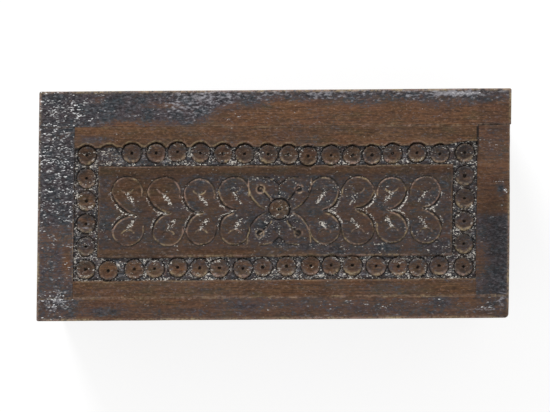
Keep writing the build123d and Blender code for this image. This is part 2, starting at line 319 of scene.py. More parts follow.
def linear(red, green, blue):
    """A colour given from 0 to 255 as it looks, as the linear colour that a shader takes."""
    values = np.array([red, green, blue]) / 255
    return (*np.where(values <= 0.04045, values / 12.92, ((values + 0.055) / 1.055) ** 2.4), 1.0)


slate_dark = linear(30, 31, 36)
slate_purple = linear(84, 75, 79)
slate_teal = linear(64, 73, 79)
slate_light = linear(138, 136, 141)
chalk_and_sheen_colour = linear(166, 164, 170)
cream = linear(176, 156, 122)
pink = linear(168, 138, 124)
dirt_and_shade_colour = linear(14, 11, 9)
red_tint = linear(112, 66, 42)
olive_tint = linear(80, 70, 46)


def worn_wood(name, dark, middle, pale, fleck_colour, streak):
    """Brown wood under broken slate paint, with pale flecks, worn arrises and grime, where the masks say. The
    masks also paint shade in the carving's hollows, cuts and rings, partly a highlight on the discs' front
    rims, and a sheen on the lid's back rail.

    The smaller streak is, the longer the flecks lie along x."""
    material = bpy.data.materials.new(name)
    shader = Shader(material)
    board = shader.node("Attribute", {}, attribute_name="board").outputs["Vector"]
    place = shader.node("TexCoord", {}).outputs["Object"]
    streaky = shader.stretched(place, (0.5, 1.0, 1.0))
    lines = shader.noise(shader.stretched(board, (0.05, 1.0, 1.0)), 0.95, 8, 0.75)
    bands = shader.noise(shader.stretched(board, (0.014, 0.16, 0.16)), 1.0, 3)
    pores = shader.noise(shader.stretched(board, (0.16, 1.6, 1.6)), 1.2, 2)
    tints = shader.noise(shader.stretched(board, (0.06, 0.17, 0.17)), 1.0, 5)
    grit = shader.noise(streaky, 1200.0, 3, 0.6)
    speckle = shader.noise(streaky, 780.0, 3, 0.55)
    blotches = shader.noise(streaky, 170.0, 7, 0.65)
    wood = shader.coated(dark, (
        (lines, 0.36, 0.64, 1.0, middle), (blotches, 0.46, 0.34, 0.6, dark), (bands, 0.5, 0.7, 0.4, pale),
        (tints, 0.52, 0.7, 0.35, red_tint), (tints, 0.46, 0.34, 0.5, olive_tint),
        (pores, 0.58, 0.7, 0.7, dirt_and_shade_colour), (speckle, 0.46, 0.32, 0.5, dark),
        (speckle, 0.54, 0.7, 0.55, pale), (grit, 0.56, 0.72, 0.42, pink), (grit, 0.44, 0.3, 0.4, dark)))

    breakup = shader.noise(streaky, 420.0, 8, 0.75)
    spread = shader.plus(shader.swing(breakup, 2.0), shader.swing(grit, 2.2))
    cover = shader.step(shader.plus(shader.mask("slate"), spread), 0.34, 0.7, 0.0, 0.94)
    hue = shader.noise(place, 130.0, 5, 0.6)
    thin_slate = shader.blend(shader.step(hue, 0.4, 0.6), slate_purple, slate_teal)
    slate = shader.blend(shader.step(grit, 0.43, 0.62), slate_dark, thin_slate)
    haze = shader.noise(streaky, 620.0, 6, 0.7)
    slate = shader.coated(slate, ((haze, 0.5, 0.7, 0.6, slate_light),))
    film = shader.times(shader.mask("slate"), shader.step(blotches, 0.35, 0.6, 0.45, 0.85))
    colour = shader.blend(cover, shader.blend(film, wood, thin_slate), slate)
    # Pale chalky paint where its mask says, and on the lid's back rail a painted sheen in the same colour.
    bloom = shader.plus(shader.swing(haze, 1.8), shader.swing(speckle, 1.6))
    chalk = shader.plus(shader.mask("chalk"), bloom)
    colour = shader.coated(colour, ((chalk, 0.48, 0.95, 0.8, chalk_and_sheen_colour),))

    # Darkening where its mask says: grime, rust and dark joints, and on the carved panel also painted shade
    # in hollows, cuts and rings.
    dirt = shader.times(shader.mask("dirt"), shader.step(shader.noise(place, 700.0, 4), 0.3, 0.5, 0.6, 1.0))
    colour = shader.blend(dirt, colour, dirt_and_shade_colour)
    # Pale worn arrises and rims, which on the discs' front rims are partly a painted highlight.
    wear = shader.noise(place, 620.0, 6, 0.6)
    edge = shader.times(shader.mask("edge"), shader.step(wear, 0.4, 0.54, 0.12, 1.0))
    colour = shader.blend(edge, colour, shader.blend(shader.step(hue, 0.42, 0.58), cream, pink))

    chips = shader.flakes(shader.stretched(place, (streak, 1.0, 1.0)), 2100.0, 0.0003)
    clusters = shader.noise(shader.stretched(place, (0.35, 1.0, 1.0)), 340.0, 5, 0.65)
    chips = shader.plus(chips, shader.swing(clusters, 1.0))
    limit = shader.step(shader.mask("fleck"), 0.0, 1.0, 1.06, 0.36)
    fleck = shader.step(shader.math("SUBTRACT", chips, limit), 0.0, 0.2)
    colour = shader.blend(fleck, colour, fleck_colour)

    roughness = shader.step(shader.plus(cover, fleck), 0.0, 1.0, 0.6, 0.8)
    normal = shader.bump(lines, 0.6, 0.0006)
    normal = shader.bump(shader.plus(grit, fleck), 0.6, 0.0004, normal)
    shader.close(Base_Color=colour, Roughness=roughness, Normal=normal, Specular_IOR_Level=0.2)
    return material


def metal(name, bright, dull, metallic, scale):
    """Old metal: patches of a dull coat over what is still bright."""
    material = bpy.data.materials.new(name)
    shader = Shader(material)
    place = shader.node("TexCoord", {}).outputs["Object"]
    coat = shader.step(shader.noise(place, scale, 8, 0.65), 0.4, 0.6)
    colour = shader.blend(coat, bright, dull)
    roughness = shader.step(coat, 0.0, 1.0, 0.38, 0.75)
    normal = shader.bump(shader.noise(place, scale * 4, 4), 0.3, 0.0002)
    shader.close(Base_Color=colour, Roughness=roughness, Metallic=metallic, Normal=normal)
    return material


# Dark, middle and pale wood and the flecks on it, and how little the flecks are drawn out along x
wood_looks = {
    "lid_wood": ((54, 36, 25), (116, 80, 53), (138, 100, 70), (244, 244, 244), 0.4),
    "carved_wood": ((46, 32, 21), (109, 76, 50), (130, 96, 66), (222, 216, 206), 0.6),
    "box_wood": ((50, 35, 26), (100, 74, 55), (112, 84, 63), (232, 231, 223), 0.4),
    "bottom_wood": ((66, 48, 34), (116, 90, 66), (128, 102, 76), (232, 231, 223), 0.4),
}
wood_materials = {}
for name, (*colours, streak) in wood_looks.items():
    wood_materials[name] = worn_wood(name, *[linear(*colour) for colour in colours], streak)
metal_materials = {
    "hinge_brass": metal("hinge_brass", linear(166, 138, 84), linear(84, 72, 50), 0.85, 260.0),
    "iron": metal("iron", linear(96, 88, 82), linear(66, 46, 36), 0.7, 600.0),
}

# Nails and screws, where the CAD's are
same_level = 0.01               # points closer than this along an axis are on one level
head_sunk = 0.08                # below the wood or the brass about it
nail_head_radius = 1.8
nail_head_thickness = 0.8
nail_radius = 0.9
nail_length = 32.0
screw_head_radius = 1.9
screw_length = 9.0
screw_core = 0.72
thread_radius = 1.0
thread_pitch = 0.8
ridge_half = 0.32               # half the ridge's width, as a share of the pitch
screw_gap = 0.03                # how far the head's rim lies inside the CAD screw
screw_point = 0.08
slot_width = 0.55
slot_depth = 0.5
stain_reach = 3.4               # how far rust and dirt spread in the wood


def fasteners_of(node):
    """Middle of the head's top and direction of the shank, for each nail or screw of a CAD piece."""
    mesh = nodes[node].data
    points, _ = vertex_data(mesh)
    places, index = np.unique(np.round(points, 3), axis=0, return_inverse=True)
    edges = np.zeros(len(mesh.edges) * 2, int)
    mesh.edges.foreach_get("vertices", edges)
    start, end = index.ravel()[edges].reshape(-1, 2).T
    solid = np.arange(len(places))
    before = None
    while not np.array_equal(solid, before):
        before = solid.copy()
        np.minimum.at(solid, start, before[end])
        np.minimum.at(solid, end, before[start])
        solid = solid[solid]
    found = []
    for number in np.unique(solid):
        body = places[solid == number]
        low, high = body.min(0), body.max(0)
        axis = np.argmax(high - low)
        ends = [body[np.abs(body[:, axis] - end[axis]) < same_level] for end in (low, high)]
        head_low = np.ptp(ends[0], axis=0).max() > np.ptp(ends[1], axis=0).max()
        top = (low + high) / 2
        top[axis] = low[axis] if head_low else high[axis]
        down = np.zeros(3)
        down[axis] = 1 if head_low else -1
        found.append((top, down))
    return found


def turned(radii, angles, heights):
    """Points of a body turned about z, from its radius and angles at each level, and the faces round it."""
    heights = np.broadcast_to(heights, radii.shape)
    points = np.stack([radii * np.cos(angles), radii * np.sin(angles), heights], -1)
    index = np.arange(radii.size).reshape(radii.shape)
    after = np.roll(index, -1, axis=1)
    quads = np.stack([index[:-1], index[1:], after[1:], after[:-1]], -1)
    return points.reshape(-1, 3), quads, index


def nail_shape(random):
    """A hammered nail: its head out of round, with a low dome."""
    segments = 20
    # Radius and height of each ring, from the middle of the head to the point
    rings = np.array([(0.3, 0), (0.9, -0.03), (1.35, -0.08), (1.62, -0.17), (nail_head_radius - 0.06, -0.34),
                      (nail_head_radius - 0.08, 0.06 - nail_head_thickness),
                      (nail_radius - 0.04, -nail_head_thickness), (nail_radius - 0.06, 5 - nail_length),
                      (0.1, 0.3 - nail_length)])
    angles = np.arange(segments) * math.tau / segments
    out_of_round = 0.05 * np.sin(2 * angles + random.uniform(0, 6))
    out_of_round += 0.03 * np.sin(3 * angles + random.uniform(0, 6))
    radii = rings[:, :1] * (1 - np.abs(out_of_round) * (rings[:, :1] / nail_head_radius) ** 2)
    points, quads, index = turned(radii, angles, rings[:, 1:])
    dents = 0.05 * np.sin(points[:, 0] * 2.1 + random.uniform(0, 6))
    dents *= np.sin(points[:, 1] * 2.4 + random.uniform(0, 6))
    points[:, 2] += np.where(points[:, 2] > -0.3, dents - 0.05, 0)
    return points, quads.reshape(-1, 4).tolist() + [index[0].tolist(), index[-1][::-1].tolist()]


def screw_shape(random):
    """A countersunk screw with a slot across its head and a thread on its shank."""
    half = 12
    shank_top = screw_core - screw_head_radius
    head_levels = [0, -slot_depth, shank_top, shank_top - thread_pitch]
    thread_levels = np.linspace(shank_top - 1.5 * thread_pitch, 2 * thread_pitch - screw_length, 44)
    levels = np.concatenate([head_levels, thread_levels, [0.15 - screw_length]])
    rings = np.full(len(levels), screw_core)
    rings[:2] = screw_head_radius - screw_gap - np.array([0, slot_depth])
    rings[-1] = screw_point
    start = np.full(len(levels), math.pi / 2 / half)
    start[:2] = np.arcsin(slot_width / 2 / rings[:2])
    one_side = np.linspace(start, math.pi - start, half, axis=1)
    angles = np.hstack([one_side, math.pi + one_side])
    winding = (levels[:, None] / thread_pitch - angles / math.tau) % 1
    ridge = np.clip(1 - np.abs(winding - 0.5) / ridge_half, 0, 1)
    ridge[[*range(len(head_levels)), -1]] = 0
    radii = rings[:, None] + (thread_radius - screw_core) * ridge
    points, quads, index = turned(radii, angles, levels[:, None])
    beside_slot = [number for number in range(2 * half) if number % half != half - 1]
    faces = quads[0][beside_slot].tolist() + quads[1:].reshape(-1, 4).tolist()
    top, slot_floor = index[:2].tolist()
    for first, last in ((0, half - 1), (half, 2 * half - 1)):
        faces.append(top[first:last + 1])
        faces.append([top[first], top[last], slot_floor[last], slot_floor[first]])
    faces.append([slot_floor[number] for number in (0, half - 1, half, 2 * half - 1)])
    faces.append(index[-1][::-1].tolist())
    turn = random.uniform(0, math.pi)
    across, along = math.cos(turn), math.sin(turn)
    points[:, :2] = points[:, :2] @ np.array([(across, along), (-along, across)])
    return points, faces


def make_fasteners(name, node, shape, seed):
    """All nails or screws of one CAD piece as one mesh."""
    random = np.random.default_rng(seed)
    points, faces = [], []
    for top, down in fasteners[node]:
        own_points, own_faces = shape(random)
        across = np.roll(down, 1)
        basis = np.array([across, np.cross(-down, across), -down])
        start = sum(len(part) for part in points)
        faces += [[corner + start for corner in face] for face in own_faces]
        points.append(top + down * head_sunk + own_points @ basis)
    mesh = mesh_of(name, np.concatenate(points), faces)
    finish(mesh, metal_materials[slot_of[node]])
    piece_of(mesh, node)


def stain(points, node):
    """Rust and dirt round the nail heads of a CAD piece: 1 at a head, fading out around it."""
    away = [np.linalg.norm(points - top, axis=1) for top, _ in fasteners[node]]
    return bell(np.min(away, axis=0), stain_reach)


# Name, CAD piece and shape
fastener_groups = (
    ("frame_nails", "lid_nails", nail_shape),
    ("side_nails", "wall_nails", nail_shape),
    ("underside_nails", "bottom_nails", nail_shape),
    ("lid_screws", "lid_leaf_screws", screw_shape),
    ("box_screws", "box_leaf_screws", screw_shape),
)
fasteners = {node: fasteners_of(node) for _, node, _ in fastener_groups}

# Boards: a block's skin with rounded, worn edges, cut to the CAD piece that it stands for
mesh_step = 1.6
edge_band = 3.6                 # along a board's edges, where its mesh is finer
skin_gap = 0.04                 # how far the worn skin lies inside the CAD piece
arris_radius = 1.15
round_corner = 1.3              # the front right corner is rounder by this
corner_reach = 7
joint_radius = 0.09             # where a board's edge lies in a joint
past_joint = 20                 # a joint's edges are rounded as if the board went on for this much


def mesh_lines(low, high):
    """Mesh lines along one side of a board, close together near its worn edges."""
    ends = np.array([0, 0.25, 0.6, 1.1, 1.8, 2.8])
    inner = np.linspace(low + edge_band, high - edge_band,
                        max(2, round((high - low - 2 * edge_band) / mesh_step)))
    return np.concatenate([low + ends, inner, high - ends[::-1]])


def block_skin(lines):
    """The six sides of a block as one closed skin of quads, on mesh lines along each axis."""
    points = np.stack(np.meshgrid(*lines, indexing="ij"), -1)
    number = np.arange(points.size // 3).reshape(points.shape[:3])
    quads = []
    for axis in range(3):
        sheets = number.transpose(np.roll(range(3), -axis))
        for side, order in ((0, [0, 1, 2, 3]), (-1, [0, 3, 2, 1])):
            sheet = sheets[side]
            corners = np.stack([sheet[:-1, :-1], sheet[:-1, 1:], sheet[1:, 1:], sheet[1:, :-1]], -1)
            quads.append(corners[..., order].reshape(-1, 4))
    used, faces = np.unique(np.concatenate(quads), return_inverse=True)
    return points.reshape(-1, 3)[used], faces.reshape(-1, 4).tolist()


def length(vectors):
    """Length of each vector, for dividing by."""
    return np.maximum(np.linalg.norm(vectors, axis=1)[:, None], 1e-6)


def pulled_in(points, low, high, radius):
    """A block's skin with its edges rounded to a radius, which may differ from point to point."""
    inner = np.clip(points, low + radius, high - radius)
    away = points - inner
    return inner + away * np.minimum(1, radius / length(away))


def worn(points, low, high, whole, grain_axis, seed):
    """Round a board's edges where they are arrises of the whole lid or box, and wear its sides unevenly."""
    beyond = np.maximum(np.abs(points[:, 0]) - whole[1][0], np.abs(points[:, 1]) - whole[1][1])
    outer = step_up(beyond, -4.0, -1.0)
    radius = arris_radius + round_corner * patch(points, whole[1][0], whole[0][1], corner_reach, corner_reach)
    radius = outer * (radius + 0.35 * noise(points, 9, seed) + 0.3 * noise(points, 3, seed + 3))
    free_low = low - past_joint * (np.abs(low - whole[0]) > same_level)
    free_high = high + past_joint * (np.abs(high - whole[1]) > same_level)
    rounded = pulled_in(points, free_low, free_high, radius[:, None])
    rounded = pulled_in(rounded, low, high, np.array([[joint_radius]]))
    away = rounded - np.clip(rounded, low + 0.6, high - 0.6)
    direction = away / length(away)
    grain = grain_size[grain_order[grain_axis]]
    wear = 0.05 + 0.05 * rough(points, (34, 20, 20), seed + 5) + 0.035 * rough(points, grain, seed + 9, 3)
    chips = step_up(noise(points, 3.5, seed + 14), 0.45, 0.8) * step_up(np.abs(direction).max(1), 0.98, 0.8)
    depth = skin_gap + np.maximum(wear, 0) + chips * outer * 0.5
    return rounded - direction * depth[:, None]


def cut_to(node, name, points, faces):
    """The part of a worn block that lies in its CAD piece, with its mortises, grooves and nail holes."""
    cutter = new_object("cutter", nodes[node].data.copy())
    block = new_object("block", mesh_of(name + "_block", points, faces))
    weld = cutter.modifiers.new("weld", "WELD")
    weld.merge_threshold = 0.001 * mm
    fit = block.modifiers.new("fit", "BOOLEAN")
    fit.operation = "INTERSECT"
    fit.solver = "MANIFOLD"
    fit.object = cutter
    graph = bpy.context.evaluated_depsgraph_get()
    mesh = bpy.data.meshes.new_from_object(block.evaluated_get(graph))
    mesh.name = name
    for thing in (block, cutter):
        data = thing.data
        bpy.data.objects.remove(thing)
        bpy.data.meshes.remove(data)
    return mesh


def board_sizes(node, left, right, front, back):
    """Lowest and highest corner of a board in the square plan."""
    return np.array([left, front, level(node, 0)]), np.array([right, back, level(node, 1)])


faint_joint_end = 55            # along x
faint_joint = 0.45


def joint_strength(x, y):
    """How pale a joint of the lid shows: the one behind the panel is faint up to a place along x."""
    return np.where((x < faint_joint_end) & (y > 0), faint_joint, 1)


# Paint of the lid, and a painted sheen on its back rail. Each patch has x, y, its reach along x and y, and
# its strength
slate_patches = (
    (-138, -60, 18, 11, 0.75), (-106, -67, 20, 4, 0.7), (-20, -63, 34, 8, 0.44), (24, -63, 34, 8, 0.48),
    (106, -62, 15, 7, 0.66), (144, 9, 3, 5, 0.8), (60, -66, 90, 9, 0.42), (72, -50, 34, 5, 0.4),
    (138, -64, 14, 8, 0.55), (138, 36, 14, 20, 0.27), (-60, -68, 70, 6, 0.34), (131, 66, 10, 2.5, 0.8),
)
bare_patches = ((-69, 63, 16, 1.6, -0.6), (-113, 67, 5, 2.4, -0.6), (-131, -36, 3, 10, -0.6))
fleck_patches = (
    (118, 70, 24, 2.0, 0.5), (-88, 58, 10, 1.0, 0.8), (-77, 62, 1.2, 2, 0.9), (-138, -60, 18, 10, 0.64),
    (-26, 57, 14, 8, 0.22), (142, 14, 9, 0.7, 0.6), (-104, 60, 14, 1.2, 0.5), (60, -64, 90, 8, 0.27),
    (10, 55, 60, 8, 0.2), (147, 8, 1.5, 2.5, 0.9), (140, -64, 12, 6, 0.46), (138, 38, 12, 18, 0.3),
)
# Chalky paint; the first patch, a pale band along the back edge on the right, is a painted sheen.
chalk_and_sheen_patches = (
    (118, 70, 26, 2.6, 1.0), (-30, 68, 50, 5, 0.5), (60, 70.5, 45, 2.5, 0.55), (-138, -60, 18, 10, 0.55),
    (-134, -20, 12, 40, 0.16), (132, -68, 16, 3, 0.6), (145, -62, 5, 10, 0.6), (60, -71, 90, 1.6, 0.42),
    (138, 36, 14, 18, 0.24), (-138, 45, 8, 30, 0.18),
)
dirt_patches = ((138, -2, 14, 18, 0.4), (140, -32, 12, 24, 0.34), (138, 64.6, 3, 0.6, 1))


def lid_masks(points, normals):
    """Paint, flecks, worn arrises and dirt of the lid's frame."""
    plan = lean_over(points, -lean)
    x, y, z = plan.T
    top = step_up(normals[:, 2], 0.4, 0.8)
    under = step_up(-normals[:, 2], 0.4, 0.8)
    side = 1 - top - under
    wander = rough(plan, (24, 7, 24), 21)
    reach = 6.5 + 13 * step_up(-x, 22, 56) + 3 * step_up(-x, 108, 122)
    band = step_up(y + 3 * wander, lid_y - reach - 7, lid_y - reach + 5)
    left_stile = step_up(-x, 119, 128)
    left_back = step_up(y, -16, -4)
    right_stile = step_up(x, 127, 130)
    right_front = right_stile * step_up(-y, 3, 11) * (1 - 0.6 * step_up(-y, 55, 62))
    right_front = right_front * (1 - 0.75 * patch(plan, 131, -38, 7, 20))
    slate = highest(0.84 * band, left_stile * (0.5 + 0.38 * left_back), 0.85 * right_front)
    slate = raised(slate, plan, slate_patches) + added(plan, bare_patches) + 0.16 * wander + 0.03
    side_slate = 0.4 + 0.7 * rough(plan, (60, 60, 12), 31)
    slate = top * slate + side * side_slate + under * 0.1

    fleck = left_stile * (0.27 + 0.18 * left_back)
    fleck = fleck + band * (1 - left_stile) * (0.14 + 0.22 * step_up(-x, 96, 124))
    fleck = top * raised(fleck, plan, fleck_patches) + side * 0.2
    fleck = np.maximum(fleck, 0.06) + 0.12 * rough(plan, (9, 5, 9), 41)
    # Chalky paint, with a painted sheen along the back rail's right part.
    chalk = raised(band * (0.16 + 0.37 * step_up(x, -90, -50)), plan, chalk_and_sheen_patches)
    chalk = (top * chalk + 0.12 * side) * (1 + 0.6 * rough(plan, (12, 6, 12), 36))

    beyond = np.maximum(np.abs(x) - lid_x, np.abs(y) - lid_y)
    arris = step_up(beyond, -2.2, -0.6) * step_up(z, lid_top - 2.2, lid_top - 0.8)
    to_back_joint = np.abs(y - panel_back)
    to_long_joint = np.minimum(np.abs(y - panel_front), to_back_joint)
    to_left_joint = np.where(np.abs(y) < 55, np.abs(x - panel_left), 9)
    joint = step_up(-np.minimum(to_long_joint, to_left_joint), -0.9, -0.2) * joint_strength(x, y)
    joint = joint * step_up(z, lid_top - 0.5, lid_top - 0.1) * (0.3 + 0.8 * rough(plan, 3, 56))
    edge = np.maximum(arris * (0.6 + 0.7 * rough(plan, 14, 51)), joint)

    dirty = added(plan, dirt_patches) + 0.14 * (right_stile + step_up(-y, 50, 58) + left_stile * left_back)
    crack = step_up(-to_back_joint, -0.7, -0.2) * step_up(x, panel_right - 0.8, panel_right + 0.2)
    at_panel_end = step_up(panel_right - x, -0.9, -0.4) * step_up(y, 24, 38) * (x > 99) * (y < panel_back)
    dirty += 0.9 * np.maximum(crack, at_panel_end)
    at_joint = highest(-to_long_joint, -np.abs(x - panel_left), -np.abs(x - panel_right))
    in_joint = step_up(at_joint, -1.3, -0.3) * (y > panel_front - 1) * (y < panel_back + 1)
    # Rust round the nails; darker towards the underside and on it, most in the joints there.
    dirt = 0.6 * stain(points, "lid_nails") + 0.12 * step_up(-z, -lid_underside - 3, -lid_underside)
    dirt += top * dirty + under * (0.2 + 0.6 * in_joint)
    return dict(slate=slate, fleck=fleck, chalk=chalk, edge=edge, dirt=dirt)


def box_masks(points, normals):
    """Paint outside, bare wood inside, and wear along the box's corners and foot."""
    plan = lean_over(points, -lean)
    x, y, z = plan.T
    past_x, past_y = np.abs(x) - box_x, np.abs(y) - box_y
    outside = step_up(np.maximum(past_x, past_y), -wall_thickness / 2 - 1, -wall_thickness / 2 + 1)
    outside = outside * step_up(1 - np.abs(normals[:, 2]), 0.3, 0.6)
    slate = outside * (0.42 + 0.75 * rough(plan, (70, 70, 18), 61) - 0.25 * step_up(-z, -14, -2)) + 0.05
    fleck = outside * (0.14 + 0.4 * rough(plan, (40, 40, 10), 71)) + 0.05
    corner = step_up(np.minimum(past_x, past_y), -2.5, -0.8)
    edge = outside * np.maximum(corner, step_up(-z, -2.2, -0.6)) * (0.7 + 0.5 * rough(plan, 12, 81))
    # Darker inside the box, more towards its bottom, and rust round the nails.
    dirt = (1 - outside) * (0.22 + 0.25 * rough(plan, (40, 40, 20), 91) + 0.3 * step_up(-z, -16, -8))
    dirt = dirt + 0.6 * (stain(points, "wall_nails") + stain(points, "bottom_nails"))
    chalk = outside * (0.12 + 0.3 * rough(plan, (50, 50, 10), 76))
    return dict(slate=slate, fleck=fleck, chalk=chalk, edge=edge, dirt=dirt)


end_step = 0.7                  # the right stile's outer side lies this far in from the back rail's end
lid_whole = board_sizes("lid_panel", -lid_x, lid_x, -lid_y, lid_y)
box_whole = (np.array([-box_x, -box_y, 0]), np.array([box_x, box_y, level("front_wall", 1)]))
lid_seed = 0
box_seed = 5
seeds_per_board = 20
panel_seed = 11
# Name, CAD piece, sides in the square plan and grain
lid_boards = (
    ("back_rail", "lid_back_rail", (-lid_x, lid_x, panel_back, lid_y), "x"),
    ("front_rail", "lid_front_rail", (-lid_x, lid_x, -lid_y, panel_front), "x"),
    ("left_stile", "lid_left_stile", (-lid_x, panel_left, panel_front, panel_back), "x"),
    ("right_stile", "lid_right_stile", (panel_right, lid_x, panel_front, panel_back), "x"),
)
box_boards = (
    ("front_side", "front_wall", (-box_x, box_x, -box_y, -inner_y), "x"),
    ("back_side", "back_wall", (-box_x, box_x, inner_y, box_y), "x"),
    ("left_side", "left_wall", (-box_x, -inner_x, -inner_y, inner_y), "y"),
    ("right_side", "right_wall", (inner_x, box_x, -inner_y, inner_y), "y"),
    ("bottom", "bottom_board", (-box_x, box_x, -box_y, box_y), "x"),
)


def make_boards(boards, whole, masks, first_seed):
    """The boards of the lid or the box, in worn wood."""
    for seed, (name, node, sides, grain_axis) in enumerate(boards, first_seed):
        low, high = board_sizes(node, *sides)
        points, faces = block_skin([mesh_lines(low[axis], high[axis]) for axis in range(3)])
        points = worn(points, low, high, whole, grain_axis, seed * seeds_per_board)
        if name == "right_stile":
            at_back = step_up(points[:, 1], panel_front + 30, panel_back)
            points[:, 0] -= end_step * at_back * step_up(points[:, 0], lid_x - 2.5, lid_x - 0.5)
        mesh = cut_to(node, name, lean_over(points), faces)
        finish(mesh, wood_materials[slot_of[node]])
        write_masks(mesh, grain_axis, seed, **masks(*vertex_data(mesh)))
        piece_of(mesh, node)


make_boards(lid_boards, lid_whole, lid_masks, lid_seed)
make_boards(box_boards, box_whole, box_masks, box_seed)
for seed, (name, node, shape) in enumerate(fastener_groups):
    make_fasteners(name, node, shape, seed)

# Hinge leaves and pins keep their CAD shape
for node, slot in slot_of.items():
    if slot in metal_materials:
        for index in range(len(nodes[node].data.materials)):
            nodes[node].data.materials[index] = metal_materials[slot]

# Carved panel: rosettes in a sunk border, and leaves on the field
back_row_steps = (14, 14.5, 15.5, 13.5, 14.5, 14.5, 13.5, 15, 13,
                  12.5, 14.5, 13.5, 12.5, 13, 15.5, 14.5, 16)
front_row_steps = (14.5, 16.5, 13, 14.5, 14, 12.5, 15, 12.5, 15,
                   15.5, 13, 13.5, 15, 14, 12.5, 13.5, 15.5)
back_row_drift = (0.1, 0.3, 1.3, 1.4, 2.0, 1.2, 0.7, 0.4, 0.2,
                  -0.3, -1.2, -0.7, -0.9, -0.8, 0, 0.4, -0.5, 0.2)
front_row_drift = (-0.2, -1.1, -0.3, 0, 0.7, 0.3, 0.1, -0.2, 0.5,
                   0.9, 1.2, 1.4, 1.2, 0.6, 0.4, -0.2, 0.6, -0.1)
worn_away = 1                   # number of the rosette whose disc is gone
side_rosettes = 4
disc_seed = 3
# Each leaf: middle and radius of its head, and its tail, about the middle rosette and the leaf axis
leaves = (
    (-96.8, 12.6, 10.2, -90.2, -2.6), (-73.3, 11.8, 10.8, -70.6, -1.0),
    (-50.8, 11.3, 10.1, -50.6, -1.4), (-28.9, 12.2, 10.1, -27.5, 0.9),
    (-95.9, -11.4, 10.4, -92.2, -2.2), (-70.5, -12.0, 10.1, -69.2, -0.7),
    (-49.5, -11.6, 9.8, -48.2, -0.2), (-28.0, -11.8, 9.8, -29.6, -1.0),
    (92.5, 12.0, 9.9, 91.4, 1.2), (71.0, 11.8, 9.7, 68.8, 0.2),
    (49.7, 11.5, 10.6, 48.4, 1.5), (28.2, 12.1, 9.8, 28.0, 0.5),
    (93.2, -11.5, 10.1, 91.5, 0.6), (71.6, -11.0, 10.1, 70.0, -0.5),
    (50.0, -11.7, 10.6, 49.0, 0.3), (29.1, -11.6, 10.1, 28.8, -0.8),
)
back_row_y = field_back + row_margin + ring_radius
front_row_y = field_front - row_margin - ring_radius
left_column_x = (panel_left + field_left) / 2
right_column_x = (panel_right + field_right) / 2


def row_places(steps, y, drift):
    """Centres of a hand-spaced row in the square plan, with each one's drift off the line."""
    walked = np.concatenate([[0], np.cumsum(steps)]) / sum(steps)
    return list(zip(left_column_x + (right_column_x - left_column_x) * walked, y + np.array(drift)))


rosettes = row_places(back_row_steps, back_row_y, back_row_drift)
rosettes += row_places(front_row_steps, front_row_y, front_row_drift)
column_step = (back_row_y - front_row_y) / (side_rosettes + 1)
for x in (left_column_x, right_column_x):
    rosettes += [(x, front_row_y + column_step * count) for count in range(1, side_rosettes + 1)]

fine_step = 0.53
plain_rows = 7                  # mesh lines on each of the margins without carving
u_lines = np.linspace(panel_left + skin_gap, panel_right - skin_gap,
                      round((panel_right - panel_left) / fine_step))
carved_front = border_front - 2
carved_back = border_back + 5
v_lines = np.concatenate([
    np.linspace(panel_front + skin_gap, carved_front, plain_rows, endpoint=False),
    np.linspace(carved_front, carved_back, round((carved_back - carved_front) / fine_step), endpoint=False),
    np.linspace(carved_back, panel_back - skin_gap, plain_rows),
])
u, v = np.meshgrid(u_lines, v_lines, indexing="ij")
grid = np.stack([u, v, np.zeros_like(u)], -1)


def wall(outward, width):
    """1 inside an outline and 0 outside, across a wall of that width."""
    return 1 - step_up(outward, -width / 2, width / 2)


def outside_of(x, y, left, right, front, back):
    """Distance out of a rectangle, less than 0 inside it."""
    across = np.maximum(left - x, x - right)
    along = np.maximum(front - y, y - back)
    return np.where((across > 0) & (along > 0), np.hypot(across, along), np.maximum(across, along))


def blurred(values, reach):
    """Values evened out over a few mesh steps."""
    kernel = bell(np.linspace(-2, 2, 2 * reach + 1), 1)
    kernel /= kernel.sum()
    padded = np.pad(values, reach, mode="edge")
    padded = np.apply_along_axis(np.convolve, 0, padded, kernel, mode="valid")
    return np.apply_along_axis(np.convolve, 1, padded, kernel, mode="valid")


def arc_points(start, middle, end, count=25):
    """Points along the arc through three points."""
    start, middle, end = (complex(*point) for point in (start, middle, end))
    ratio = (end - start) / (middle - start)
    centre = start + (middle - start) * (ratio - abs(ratio) ** 2) / (2j * ratio.imag)
    first, through, last = np.angle([start - centre, middle - centre, end - centre])
    turn = (last - first) % math.tau
    if (through - first) % math.tau > turn:
        turn -= math.tau
    arc = centre + abs(start - centre) * np.exp(1j * (first + np.linspace(0, turn, count)))
    return np.column_stack([arc.real, arc.imag])


def gouge(line, width, fade):
    """Where the grid lies near a cut along a line of points, and there the distance from the line and half
    the cut's width. The distance is more than 0 left of the line, and the cut narrows towards its ends."""
    near = (u > line[:, 0].min() - width) & (u < line[:, 0].max() + width)
    near &= (v > line[:, 1].min() - width) & (v < line[:, 1].max() + width)
    runs = np.diff(line, axis=0)
    offset = np.stack([u[near], v[near]], -1)[:, None] - line[:-1]
    along = np.clip((offset * runs).sum(-1) / (runs * runs).sum(-1), 0, 1)
    away = np.linalg.norm(offset - along[..., None] * runs, axis=-1)
    left = runs[:, 0] * offset[..., 1] > runs[:, 1] * offset[..., 0]
    share = (np.arange(len(runs)) + along) / len(runs)
    size = fade + (1 - fade) * np.maximum(np.sin(np.pi * share), 0) ** 0.7
    nearest = np.arange(len(away)), away.argmin(axis=1)
    return near, np.where(left, away, -away)[nearest], size[nearest] * width / 2


